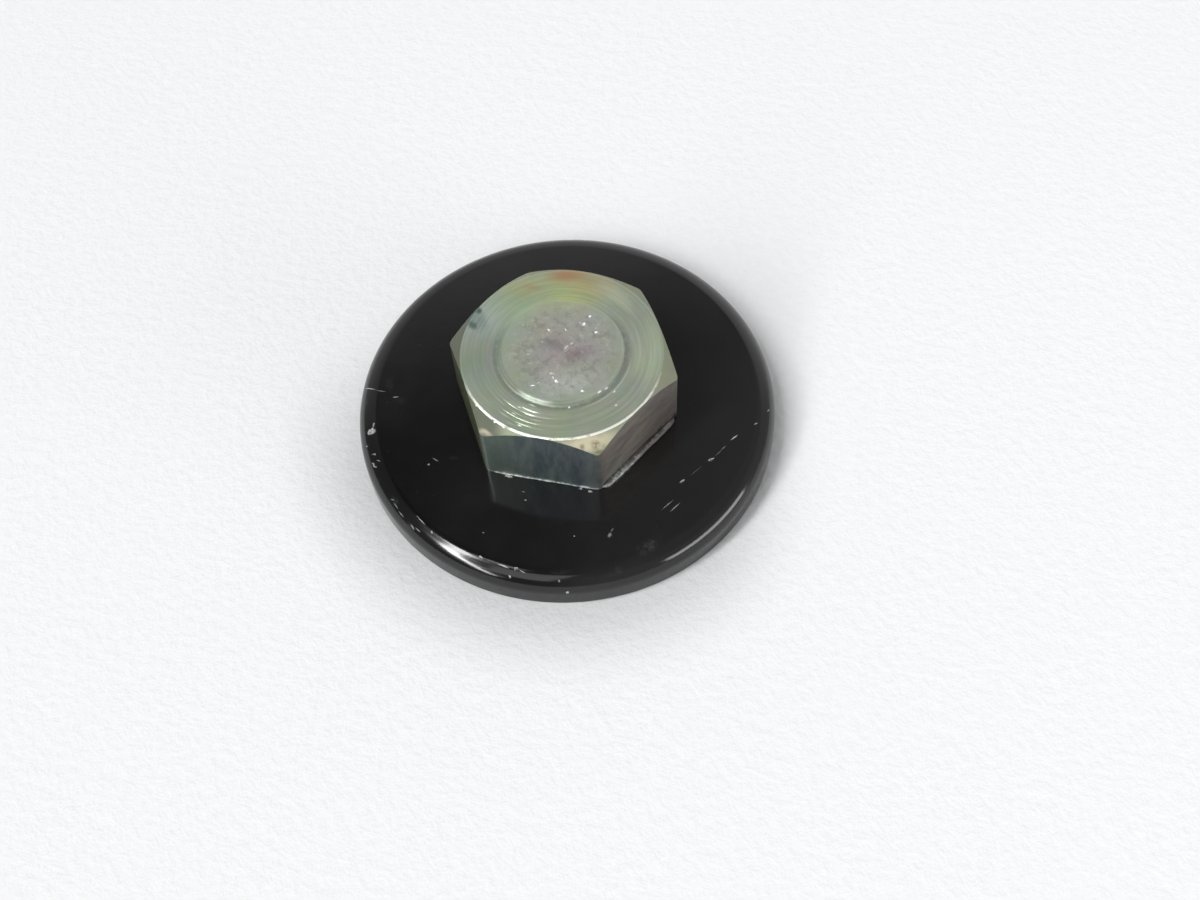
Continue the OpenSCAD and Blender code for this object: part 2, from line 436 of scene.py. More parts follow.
# Marks on the nut, laid out like the damage to the paint
CORNER_SPECKS = [
    ((2.2, -15.7, 16.6), (0.7, 0.5, 2), 0, 0.8),
    ((4.3, -15.5, 16.6), (1.2, 0.8, 2), 0, 0.85),
    ((5.2, -16.1, 16.2), (2.0, 0.9, 2), 20, 0.75),
    ((1.4, -16.2, 16.2), (1.4, 0.5, 2), -8, 0.5),
]
RUST_SPOTS = [
    ((1.4, 13.9, 18.0), (5.0, 2.4), 0, 0.8),
    ((3.2, 12.6, 18.0), (3.6, 2.2), -10, 0.3),
    ((7.1, 13.2, 18.0), (0.9, 0.4), -20, 0.7),
    ((-4.0, 12.1, 18.0), (2.0, 0.7), -10, 0.35),
]
TEAL_STAINS = [
    ((-12.1, 8.2, 18.0), (0.85, 1.1), 20, 0.95),
    ((-13.0, 5.7, 18.0), (1.1, 1.5), 40, 0.85),
    ((-12.2, 6.5, 18.0), (2.2, 2.8), 20, 0.4),
]
DENTS = [
    ((4.3, 5.65, 18.4), (0.45, 0.4), 0, 0.9),
    ((3.4, 4.25, 18.4), (0.55, 0.5), 0, 1.0),
    ((5.05, 2.7, 18.4), (0.4, 0.4), 0, 0.8),
    ((-2.0, 3.4, 18.4), (0.6, 0.7), 20, 0.6),
    ((-5.0, -0.55, 18.4), (0.7, 0.3), 10, 0.5),
    ((-1.75, -4.05, 18.4), (0.8, 0.3), -20, 1.0),
    ((-1.1, -5.45, 18.4), (0.5, 0.4), -40, 1.0),
    ((-4.6, -5.95, 18.4), (0.8, 0.25), 5, 0.8),
    ((2.6, -7.45, 18.4), (0.5, 0.35), 0, 0.6),
    ((0.9, -0.1, 18.4), (0.25, 0.9), -45, 0.8),
    ((1.6, 0.8, 18.4), (0.7, 0.2), 35, 0.8),
    ((-2.8, 1.5, 18.4), (0.5, 0.4), 0, 0.6),
    ((0.7, 3.3, 18.4), (0.4, 0.5), 0, 0.5),
]
# Nicks of bare metal in the dents and on the ring, painted near white as glints where they catch the
# light; the spots on the disc's edge and in the facing grooves are painted glints only
NICKS_AND_GLINTS = [
    ((4.35, 5.68, 18.4), (0.34, 0.26), 20, 1.0),
    ((3.4, 4.3, 18.4), (0.42, 0.36), 0, 1.0),
    ((2.9, 4.7, 18.4), (0.2, 0.16), 0, 0.6),
    ((5.09, 2.73, 18.4), (0.26, 0.3), 0, 0.75),
    ((5.2, 3.6, 18.4), (0.14, 0.18), 0, 0.5),
    ((-1.75, -4.02, 18.4), (0.42, 0.18), -20, 0.95),
    ((-1.4, -4.75, 18.4), (0.14, 0.5), 15, 0.7),
    ((-1.08, -5.46, 18.4), (0.4, 0.26), -30, 1.0),
    ((-4.55, -5.9, 18.4), (0.5, 0.14), 8, 0.8),
    ((-3.53, -5.45, 18.4), (0.4, 0.12), 12, 0.5),
    ((2.58, -7.43, 18.4), (0.3, 0.16), 20, 0.5),
    ((0.7, 0.5, 18.4), (0.12, 0.7), -40, 0.6),
    ((1.5, 1.1, 18.4), (0.5, 0.12), 35, 0.45),
    ((5.15, -7.62, 18.3), (0.5, 0.14), 34, 0.7),
    ((6.15, -7.0, 18.2), (0.5, 0.14), 42, 0.6),
    ((7.3, -7.5, 18.0), (0.35, 0.14), 44, 0.7),
    ((0.74, -9.7, 18.0), (0.2, 0.24), 0, 0.8),
    ((7.4, -9.8, 18.0), (0.3, 0.18), 30, 0.7),
    ((-8.73, -12.27, 17.9), (0.3, 0.1), -35, 0.8),
    ((-10.0, -11.35, 17.9), (0.3, 0.1), -41, 0.8),
    ((-6.46, -12.26, 18.0), (0.42, 0.2), -24, 1.0),
    ((-12.54, -8.3, 18.0), (0.26, 0.24), 0, 1.0),
    ((-5.7, -9.4, 18.0), (0.6, 0.12), -31, 0.8),
    ((-4.6, -9.0, 18.0), (0.8, 0.12), -27, 0.7),
    ((-6.4, -9.2, 18.0), (0.4, 0.14), -35, 0.7),
    ((-4.9, -10.6, 18.0), (0.7, 0.12), -25, 0.7),
    ((-7.2, -10.2, 18.0), (0.6, 0.12), -35, 0.6),
]


def zinc_plating(settings, azimuth):
    """Iridescent zinc plating: faced ring, raw disc, stains and rust on one piece, with painted highlights,
    glints and shade.
    """
    material, finish = new_finish("zinc_plating", {"IOR": 1.5})
    mix = finish.mix
    here = finish.viewer_frame(azimuth)
    radius = finish.turned(here)
    across, away, up = finish.axes(here)
    facing = finish.axes(finish.node("ShaderNodeTexCoord", output="Normal"))[2]
    on_top = facing.ramp(0.72, 0.9)
    raw_disc = radius.ramp(9.4, 7.0) * on_top
    sides = facing.ramp(0.5, 0.2).at_least(up.ramp(12, 9))
    front = away.ramp(-3, -10)

    tint = finish.grain(here, 0.22, 3.0, 0.5, output="Color")
    clouds = finish.grain(here, 0.35, 5.0, 0.6)
    mottle = finish.grain(here, 1.1, 6.0, 0.65)
    speckle = finish.grain(here, 0.9, 3.0, 0.6)
    top = mix(clouds.ramp(0.35, 0.7), settings.plating, (160, 166, 153))
    frayed = finish.wander(here, 0.4, 0.6)
    for place, half_size, turn, strength, shade in PATINA_AND_SHEEN:
        patch = finish.mark(frayed, place, half_size, turn, 0.0) * strength
        top = mix(patch, top, shade)
    turning = finish.node(
        "ShaderNodeCombineXYZ", None, {0: radius * 2.4, 1: across * 0.1, 2: away * 0.1})
    rings = finish.grain(turning, 1.0, 3.0, 0.6).ramp(0.3, 0.7)
    ringed = mix(rings * radius.ramp(9.6, 10.2) * on_top * 0.42, top, (128, 134, 122))
    dusky = speckle.ramp(0.48, 0.66) * radius.ramp(9.3, 6.5) * 0.4
    blotched = mix(dusky * on_top, ringed, (122, 121, 118))
    frosted = mix(mottle.ramp(0.52, 0.7) * raw_disc * 0.4, blotched, (198, 200, 194))
    # Darker on the steep slope and in the gutter round the disc, mostly towards the front
    gutter = radius.ramp(9.0, 9.5) * radius.ramp(10.5, 9.7) * away.ramp(7.5, 1.5)
    gutter_darkened = mix(gutter * mottle.ramp(0.15, 0.55) * 0.55, frosted, (104, 110, 104))
    edge = radius.ramp(8.7, 8.95) * radius.ramp(9.6, 9.35)
    # Painted highlight on the disc's upper edge, in the sector that faces the window at the front left; its
    # lower roughness is rubbed metal
    lit = finish.mark(here, (-4.15, -8.15, 18.3), (3.6, 3.6), 0, 0.3)
    rubbed_and_sheen = edge * lit
    # Painted shade on the disc's edge outside that sector, towards the left and the front
    unlit = edge * (1 - lit) * across.ramp(5, -2) * away.ramp(8, 2)
    shaded_edge = mix(unlit * 0.5, gutter_darkened, (112, 117, 110))
    # Painted highlight: a thin light line on the gutter's outer edge at the front right
    groove_line = radius.ramp(10.0, 10.2) * radius.ramp(10.5, 10.3)
    highlight_line = groove_line * finish.mark(here, (7.2, -7.2, 18.0), (7, 7), 0, 0.4)
    highlight_lined = mix(highlight_line * 0.4, shaded_edge, (206, 214, 196))
    lit_edge = mix(rubbed_and_sheen * mottle.ramp(0.35, 0.6) * 0.45, highlight_lined, (196, 204, 192))
    outside = radius.ramp(13.5, 14.2)
    chamfer = facing.ramp(0.93, 0.85) * facing.ramp(0.5, 0.62) * outside
    dull = mix(across.ramp(-8, -10.5), (126, 132, 108), (66, 70, 52))
    bevelled = mix(chamfer * 0.85, lit_edge, dull)
    cream = finish.mark(frayed, (3.0, -15.4, 17.2), (7.0, 1.6), 12, 0.2)
    # Painted highlight: a light wedge on the chamfer at the front-left corner, where it faces the window
    highlight_wedge = finish.mark(frayed, (-11.6, -12.1, 16.3), (1.6, 0.5, 2), -32, 0.0) * 0.8
    cream_and_highlight = mix(cream.at_least(highlight_wedge) * chamfer * 0.5, bevelled, (222, 208, 180))
    specks = finish.marks(frayed, CORNER_SPECKS, 0.0) * mottle.ramp(0.35, 0.55) * chamfer
    spotted = mix(specks, cream_and_highlight, (94, 80, 56))
    # Painted highlight, with some wear: the rounded edge of the faced top turns near white along the front
    rolled = facing.ramp(0.99, 0.95) * facing.ramp(0.74, 0.82) * outside
    edge_highlighted = mix(rolled * front * mottle.ramp(0.3, 0.5) * 0.85, spotted, (242, 242, 232))
    # Painted glints: the nicks turn near white and less metallic
    bright_marks = finish.marks(finish.wander(here, 1.4, 0.12), NICKS_AND_GLINTS, 0.2)
    glinted = mix(bright_marks, edge_highlighted, (250, 252, 250))
    stained = mix(finish.marks(finish.wander(here, 0.8, 0.5), TEAL_STAINS, 0.2), glinted, (76, 102, 90))
    rusty = mix(finish.marks(finish.wander(here, 0.5, 0.4), RUST_SPOTS, 0.0), stained, settings.rust)
    drawn = finish.grain(finish.vector("MULTIPLY", here, (1, 1, 0.25)), 0.5, 4.0, 0.6).ramp(0.35, 0.65)
    left_side = mix(drawn, (94, 106, 114), (130, 141, 140))
    greener = mix(across.ramp(-4, -10) * 0.6, left_side, (132, 148, 132))
    footed = mix(up.ramp(6.45, 6.3) * mottle.ramp(0.4, 0.6), greener, (190, 190, 184))
    narrow = mix(across.ramp(-12.2, -12.9), footed, (88, 93, 72))
    scraped = finish.grain(finish.vector("MULTIPLY", here, (0.3, 0.3, 1)), 0.7, 4.0, 0.6)
    worn_side = mix(scraped.ramp(0.3, 0.7), (154, 142, 139), (184, 179, 170))
    right_side = mix(across.ramp(9, 14) * 0.45, worn_side, (118, 112, 108))
    # Painted shade: a dark line in the crease between the right face and the burr along its foot
    crevice_shade = up.ramp(7.5, 7.2) * facing.ramp(0.3, 0.1) * across.ramp(5.5, 7.5)
    crevice_shaded = mix(crevice_shade * 0.6, right_side, (46, 44, 44))
    bead = up.ramp(7.2, 7.05) * across.ramp(4.6, 5.0) * radius.ramp(15.15, 15.3)
    silver = mix(mottle.ramp(0.45, 0.6), (128, 128, 127), (206, 206, 204))
    # Darker at the bead's right end and low down
    darker_low_right = mix(across.ramp(8, 11.5) * up.ramp(7.0, 6.7), silver, (96, 90, 88))
    beaded = mix(bead, crevice_shaded, darker_low_right)
    seen = mix((across + away * 0.4).ramp(-3.5, -0.5), narrow, beaded)
    behind = (away * math.cos(azimuth) + across * math.sin(azimuth)).ramp(-0.2, 0.2)
    plain = behind.at_least(radius.ramp(14.7, 14.3))
    unseen = mix(drawn, (132, 139, 127), (150, 156, 143))
    side = mix(plain, seen, unseen)
    plated = mix(sides, rusty, side)
    iridescent = mix(0.12, plated, tint, "OVERLAY")

    dents = finish.marks(finish.wander(here, 1.0, 0.25), DENTS, 0.0)
    pits = finish.grain(here, 0.7, 4.0, 0.55)
    relief = pits * 0.22 * raw_disc + mottle * 0.014 - dents * 0.28
    feed(finish, {
        "Base Color": iridescent,
        "Roughness": (
            0.42 + mottle * 0.12 + edge * 0.3 - rubbed_and_sheen * 0.22 - dents * 0.2 + chamfer * 0.16),
        "Metallic": 0.75 - clouds * 0.1 + sides * 0.22 - chamfer * 0.3 - bright_marks * 0.6,
        "Normal": finish.bump(relief),
    })
    return material


def moulded_rubber(settings, azimuth):
    """Oiled black rubber with a fine moulded grain."""
    material, finish = new_finish("moulded_rubber", {"IOR": 1.5, "Specular IOR Level": 0.4})
    here = finish.viewer_frame(azimuth)
    film = finish.grain(here, 0.15, 4.0, 0.6)
    grain = finish.grain(here, 3.0, 3.0, 0.6)
    feed(finish, {
        "Base Color": finish.mix(film.ramp(0.35, 0.7), settings.rubber, (48, 45, 41)),
        "Roughness": 0.45 + grain * 0.2 - film.ramp(0.5, 0.7) * 0.15,
        "Normal": finish.bump(grain * 0.02),
    })
    return material


# Meshes

# Sectors where the facing cutter chattered: azimuth in the viewer's frame and width (degrees), and
# strength
CHATTER = [(-119, 19, 1.0), (-48, 8, 0.45), (-165, 14, 0.15)]
GROOVE_FACETS = 12
# Deepest hollow in the raw disc, and the width over which it fades out at the edge
RAW_DEPTH = 0.12 * MM
RAW_FADE = 1.2 * MM
FLARE_CLEARANCE = 0.2 * MM
# Thread in the blind bore, relief at its end, countersink, and how far the ridge is sunk in the wall
THREAD_DEPTH = 0.8 * MM
RUN_OUT = 1.2 * MM
BLIND_CHAMFER = 0.8 * MM
COUNTERSINK = 1.0 * MM
MOUTH_STEP = 0.2 * MM
RIDGE_SINK = 0.05 * MM
# Burrs on the nut's right and front faces, their gap at a corner, and the angle of a sharp edge
LIP_REACH = 0.75 * MM
LIP_HEIGHT = 0.95 * MM
FRONT_LIP_REACH = 0.2 * MM
FRONT_LIP_HEIGHT = 0.3 * MM
LIP_GAP = 0.3 * MM
LIP_CREASE = 80


def turned_section(corners, closed):
    """Section in the plane y = 0, from corners given as radius, height and reach of the rounding."""
    section = bmesh.new()
    chain = [section.verts.new((radius, 0, height)) for radius, height, _ in corners]
    pairs = list(zip(chain, chain[1:]))
    if closed:
        pairs.append((chain[-1], chain[0]))
    for pair in pairs:
        section.edges.new(pair)
    for vert, (_, _, rounding) in zip(chain, corners):
        if rounding > 0:
            bmesh.ops.bevel(
                section, geom=[vert], offset=rounding, offset_type="OFFSET", affect="VERTICES",
                segments=8, profile=0.5, material=-1)
    return section


def subdivide_level(section, height, inner, outer, pitch):
    """Divides the section's level edge between two radii into steps of about pitch."""
    tolerance = 0.01 * MM
    for edge in section.edges[:]:
        radii = sorted(vert.co.x for vert in edge.verts)
        level = all(abs(vert.co.z - height) < tolerance for vert in edge.verts)
        if level and radii[0] > inner - tolerance and radii[1] < outer + tolerance:
            cuts = round((radii[1] - radii[0]) / pitch) - 1
            if cuts > 0:
                bmesh.ops.subdivide_edges(section, edges=[edge], cuts=cuts)


def turn(section, steps):
    """Spins the section into a closed solid."""
    bmesh.ops.spin(
        section, geom=section.verts[:] + section.edges[:], cent=(0, 0, 0), axis=(0, 0, 1),
        dvec=(0, 0, 0), angle=FULL_TURN, steps=steps, use_merge=True)
    bmesh.ops.remove_doubles(section, verts=section.verts, dist=0.001 * MM)
    bmesh.ops.recalc_face_normals(section, faces=section.faces)


def mill(solid, azimuth, distance):
    """Cuts off what lies past an upright plane and closes the cut."""
    direction = Vector((math.cos(azimuth), math.sin(azimuth), 0))
    geometry = solid.verts[:] + solid.edges[:] + solid.faces[:]
    cut = bmesh.ops.bisect_plane(
        solid, geom=geometry, dist=0.0001 * MM, plane_co=direction * distance, plane_no=direction,
        clear_outer=True)
    outline = [item for item in cut["geom_cut"] if isinstance(item, bmesh.types.BMEdge)]
    bmesh.ops.edgeloop_fill(solid, edges=outline)


def finished(solid, name, material, replaced=None, crease=30):
    """Turns the bmesh into a smooth-shaded piece that rides on the cap's body."""
    mesh = bpy.data.meshes.new(name)
    limit = math.radians(crease)
    for face in solid.faces:
        face.smooth = True
    for edge in solid.edges:
        edge.smooth = edge.calc_face_angle(0) < limit
    solid.to_mesh(mesh)
    solid.free()
    mesh.materials.append(material)
    piece = bpy.data.objects.new(name, mesh)
    bpy.context.scene.collection.objects.link(piece)
    weighting = piece.modifiers.new("flat_faces", "WEIGHTED_NORMAL")
    weighting.keep_sharp = True
    weighting.weight = 100
    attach(piece, BODY)
    if replaced:
        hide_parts(replaced)
    return piece


class FILLERCAP_OT_lid(bpy.types.Operator):
    """Models the pressed lid and paints it"""
    bl_idname = "fillercap.lid"
    bl_label = "Lid"

    def execute(self, context):
        settings = context.scene.cap_lid
        outer = LID_HIGH.x
        top = LID_HIGH.z
        inner = outer - settings.sheet
        underside = top - settings.sheet
        section = turned_section([
            (settings.hole, underside, settings.hole_edge),
            (inner, underside, settings.bend - settings.sheet),
            (inner, 0, settings.rim_edge),
            (outer, 0, settings.rim_edge),
            (outer, top, settings.bend),
            (settings.hole, top, 0),
        ], closed=True)
        turn(section, settings.steps)
        paint = gloss_paint(settings, context.scene.cap_stage.azimuth)
        finished(section, "painted_lid", paint, "lid")
        return {"FINISHED"}


class FILLERCAP_OT_nut(bpy.types.Operator):
    """Models the blind nut with its thread and plates it"""
    bl_idname = "fillercap.nut"
    bl_label = "Nut"

    def execute(self, context):
        settings = context.scene.cap_nut
        plating = zinc_plating(settings, context.scene.cap_stage.azimuth)
        body = self.body(settings)
        finished(body, "plated_nut", plating, "hex_nut")
        thread = self.thread(settings)
        finished(thread, "stud_thread", plating)
        return {"FINISHED"}

    def body(self, settings):
        """Turned blank with a swaged neck and a blind bore, milled to a hexagon."""
        face = NUT_HIGH.z - max(settings.disc_rise, 0)
        disc = face + settings.disc_rise
        foot = LID_HIGH.z
        flat_distance = NUT_HIGH.y
        blank = flat_distance / math.cos(HALF_SIDE_ANGLE) + MM
        blank_top = face - (blank - settings.flat_top) * math.tan(settings.chamfer)
        flare_low = NUT_LOW.z
        flare_high = flare_low + settings.flare_wall
        flare = self.flare_radius
        bend = settings.flare_bend
        thin = settings.neck - settings.flare_wall
        root = THREAD_CREST + THREAD_DEPTH
        ring_inner = settings.disc + settings.disc_slope + settings.gutter
        gutter_edge = settings.gutter * 0.45
        section = turned_section([
            (0, disc, 0),
            (settings.disc, disc, settings.disc_edge),
            (settings.disc + settings.disc_slope, face - settings.gutter_depth, gutter_edge),
            (ring_inner, face, gutter_edge),
            (settings.flat_top, face, settings.chamfer_edge),
            (blank, blank_top, 0),
            (blank, foot, 0),
            (settings.neck, foot, 0),
            (settings.neck, flare_high, bend),
            (flare, flare_high, settings.flare_wall / 2),
            (flare, flare_low, settings.flare_wall / 2),
            (thin, flare_low, bend + settings.flare_wall),
            (thin, THREAD_LOW - COUNTERSINK, 0),
            (root + MOUTH_STEP, THREAD_LOW - COUNTERSINK, 0),
            (root, THREAD_LOW - THREAD_DEPTH, 0),
            (root, THREAD_HIGH - RUN_OUT, 0),
            (THREAD_CREST, THREAD_HIGH, 0),
            (THREAD_CREST - BLIND_CHAMFER, THREAD_HIGH + BLIND_CHAMFER, 0),
            (0, THREAD_HIGH + BLIND_CHAMFER, 0),
        ], closed=False)
        groove_facet = settings.groove_pitch / GROOVE_FACETS
        subdivide_level(section, disc, 0, settings.disc, 3 * groove_facet)
        subdivide_level(section, face, ring_inner, settings.flat_top, groove_facet)
        turn(section, settings.steps)
        self.face_marks(section, settings, disc, face, ring_inner)
        self.hexagon(section, settings, flat_distance)
        bmesh.ops.recalc_face_normals(section, faces=section.faces)
        return section

    @property
    def flare_radius(self):
        """Outer radius of the rolled flare, which the openings inside the cap keep clear of."""
        openings = frame["record"]["physics"]["openings"]
        nearest = min(opening["box_m"][0][0] for opening in openings if opening["box_m"][0][0] > 0)
        return nearest - FLARE_CLEARANCE

    def face_marks(self, solid, settings, disc, face, ring_inner):
        """Cuts the facing grooves into the ring and roughens the raw disc."""
        tolerance = 0.005 * MM
        viewer = bpy.context.scene.cap_stage.azimuth
        start = ring_inner + settings.disc_edge
        end = settings.flat_top - settings.chamfer_edge
        for vert in solid.verts:
            radius = vert.co.xy.length
            place = vert.co / MM
            if abs(vert.co.z - face) < tolerance and start < radius < end:
                fade = min(1, 4 * (radius - start) / (end - start), 4 * (end - radius) / (end - start))
                vert.co.z -= self.groove(settings, vert.co, place, radius, viewer) * fade
            elif abs(vert.co.z - disc) < tolerance and radius < settings.disc - 2 * settings.disc_edge:
                fade = min(1, (settings.disc - radius) / RAW_FADE)
                swell = noise.fractal(place * 0.35, 0.8, 2.0, 5)
                vert.co.z -= RAW_DEPTH * fade * max(0, 0.5 + 0.5 * swell)

    def groove(self, settings, co, place, radius, viewer):
        """Depth of the worn facing grooves at one point, deeper in the sector of chatter."""
        phase = radius / settings.groove_pitch + 0.3 * noise.noise(place * 0.15)
        valley = (0.5 + 0.5 * math.cos(FULL_TURN * phase)) ** 4
        worn = max(0, 0.4 + noise.noise(place * 0.3 + Vector((7, 0, 0))))
        bearing = math.degrees(math.atan2(co.y, co.x) - viewer)
        chatter = 0
        for azimuth, width, strength in CHATTER:
            off = (bearing - azimuth + 180) % 360 - 180
            chatter += strength * math.exp(-(off / width) ** 2)
        streak = Vector((radius / settings.groove_pitch, bearing / 11, 3))
        broken = max(0, 0.4 + 1.3 * noise.noise(streak))
        return valley * (settings.groove_depth * worn + settings.chatter_depth * chatter * broken)

    def hexagon(self, solid, settings, flat_distance):
        """Mills the six flats and the rounded corners between them."""
        corner_centre = (flat_distance - settings.corner) / math.cos(HALF_SIDE_ANGLE)
        corner_facets = 6
        for side in range(HEX_SIDES):
            corner_azimuth = side * 2 * HALF_SIDE_ANGLE
            mill(solid, corner_azimuth + HALF_SIDE_ANGLE, flat_distance)
            for facet in range(1, corner_facets):
                turned = HALF_SIDE_ANGLE * (2 * facet / corner_facets - 1)
                distance = corner_centre * math.cos(turned) + settings.corner
                mill(solid, corner_azimuth + turned, distance)

    def thread(self, settings):
        """Helical ridge of the stud's thread inside the blind bore."""
        root = THREAD_CREST + THREAD_DEPTH + RIDGE_SINK
        pitch = settings.thread_pitch
        engaged = THREAD_HIGH - THREAD_LOW
        turns = engaged / pitch
        steps_in_turn = 96
        steps = round(turns * steps_in_turn)
        ridge = bmesh.new()
        half_root = pitch * 0.46
        half_crest = pitch * 0.08
        profile = [
            (root, -half_root), (THREAD_CREST, -half_crest), (THREAD_CREST, half_crest), (root, half_root)]
        verts = [ridge.verts.new((radius, 0, THREAD_LOW + height)) for radius, height in profile]
        section = ridge.faces.new(verts)
        start = [section] + verts + section.edges[:]
        bmesh.ops.spin(
            ridge, geom=start, cent=(0, 0, 0), axis=(0, 0, 1), dvec=(0, 0, engaged / steps),
            angle=turns * FULL_TURN, steps=steps)
        for vert in ridge.verts:
            radius = vert.co.xy.length
            run_in = (vert.co.z - THREAD_LOW + 0.5 * pitch) / pitch
            run_out = (THREAD_HIGH + 0.3 * pitch - vert.co.z) / (0.8 * pitch)
            kept = max(0, min(1, run_in, run_out))
            wanted = root - (root - radius) * kept
            vert.co.xy *= wanted / radius
        bmesh.ops.recalc_face_normals(ridge, faces=ridge.faces)
        return ridge


class FILLERCAP_OT_foot_lip(bpy.types.Operator):
    """Models the burr along the foot of the nut's two front faces"""
    bl_idname = "fillercap.foot_lip"
    bl_label = "Foot lip"

    def execute(self, context):
        settings = context.scene.cap_nut
        material = bpy.data.materials["zinc_plating"]
        flat = NUT_HIGH.y
        half_side = flat * math.tan(HALF_SIDE_ANGLE)
        right_face = -HALF_SIDE_ANGLE
        front_face = -3 * HALF_SIDE_ANGLE
        inset = half_side - settings.corner
        end = half_side - LIP_GAP
        lip = self.bead(flat, right_face, -end, inset, LIP_REACH, LIP_HEIGHT)
        finished(lip, "foot_lip_right", material, crease=LIP_CREASE)
        thin = self.bead(flat, front_face, -inset, end, FRONT_LIP_REACH, FRONT_LIP_HEIGHT)
        finished(thin, "foot_lip_front", material, crease=LIP_CREASE)
        return {"FINISHED"}

    def bead(self, flat, azimuth, start, end, reach, height):
        """Irregular bead along one face's foot, from start to end along the face."""
        outward = Vector((math.cos(azimuth), math.sin(azimuth), 0))
        along = Vector((-math.sin(azimuth), math.cos(azimuth), 0))
        steps = 48
        facets = 12
        bead = bmesh.new()
        turned = Matrix((outward, Vector((0, 0, 1)), along)).transposed().to_4x4()
        frontier = bmesh.ops.create_circle(
            bead, cap_ends=True, radius=1, segments=facets, matrix=turned)["verts"]
        levels = [frontier]
        for _ in range(steps):
            edges = [edge for edge in bead.edges if edge.verts[0] in frontier and edge.verts[1] in frontier]
            grown = bmesh.ops.extrude_edge_only(bead, edges=edges)["geom"]
            frontier = [item for item in grown if isinstance(item, bmesh.types.BMVert)]
            levels.append(frontier)
        bmesh.ops.contextual_create(bead, geom=frontier)
        for level, verts in enumerate(levels):
            share = level / steps
            place = start + (end - start) * share
            taper = math.sqrt(max(0.02, 1 - (2 * share - 1) ** 12))
            rough = 1 + 0.12 * noise.noise(Vector((place / MM * 0.7, flat, reach / MM)))
            for vert in verts:
                depth = (0.55 + 0.65 * vert.co.dot(outward)) * reach * taper * rough
                upright = vert.co.z * height / 2 * taper * rough
                vert.co = outward * (flat + depth) + along * place
                vert.co.z = LID_HIGH.z + height * 0.42 + upright
        bmesh.ops.recalc_face_normals(bead, faces=bead.faces)
        return bead


class FILLERCAP_OT_seal(bpy.types.Operator):
    """Models the rubber sealing ring"""
    bl_idname = "fillercap.seal"
    bl_label = "Sealing ring"

    def execute(self, context):
        settings = context.scene.cap_seal
        outer = SEAL_HIGH.x
        section = turned_section([
            (settings.inner, SEAL_LOW.z, settings.edge),
            (outer, SEAL_LOW.z, settings.edge),
            (outer, SEAL_HIGH.z, settings.shoulder),
            (settings.inner, SEAL_HIGH.z, settings.edge),
        ], closed=True)
        turn(section, settings.steps)
        rubber = moulded_rubber(settings, context.scene.cap_stage.azimuth)
        finished(section, "rubber_seal", rubber, "sealing_ring")
        return {"FINISHED"}


# Window as a ribbon of round patches on the sky: azimuth and elevation in the viewer's frame and
# radius (degrees), and radiance
WINDOW = [
    (-176, 65.0, 4.2, 18), (-168, 63.0, 4.2, 20), (-162, 58.5, 4.2, 20), (-159, 53.0, 4.0, 20),
    (-156, 47.5, 4.0, 20), (-153.5, 42.0, 4.8, 28), (-150.5, 36.5, 4.8, 30), (-146, 32.0, 4.4, 28),
    (-140.5, 28.5, 3.8, 20), (-136, 23.5, 3.8, 18), (-131.5, 18.5, 3.6, 16), (-127, 13.0, 3.2, 10),
]
WINDOW_HALO = [
    (-167, 61, 14, 2.8), (-154, 45, 14, 4.2), (-142, 30, 14, 4.8), (-130, 17, 11, 2.2),
]
# Lamps, as name, azimuth and elevation in the viewer's frame, width and height (degrees), and
# radiance, all at one distance from the frame's origin in metres
LAMPS = [
    ("pale_wall", -116, 48, 24, 34, 1.5),
    ("ceiling_strip", -163, 74, 13, 4, 4.5),
    ("side_window", -30, 13, 42, 15, 6.0),
]
LAMP_DISTANCE = 1.0
# Level of the sky where the camera sees it past the floor's edge
BACKDROP = 0.88


def towards(azimuth, elevation):
    """Unit vector towards an azimuth and an elevation, in radians."""
    level = math.cos(elevation)
    return Vector((math.cos(azimuth) * level, math.sin(azimuth) * level, math.sin(elevation)))


def station(azimuth, elevation, roll=0):
    """Axes to the right, up and back of what stands there and faces the origin."""
    back = towards(azimuth, elevation)
    level = Vector((-math.sin(azimuth), math.cos(azimuth), 0))
    upright = back.cross(level)
    right = level * math.cos(roll) + upright * math.sin(roll)
    up = upright * math.cos(roll) - level * math.sin(roll)
    return right, up, back


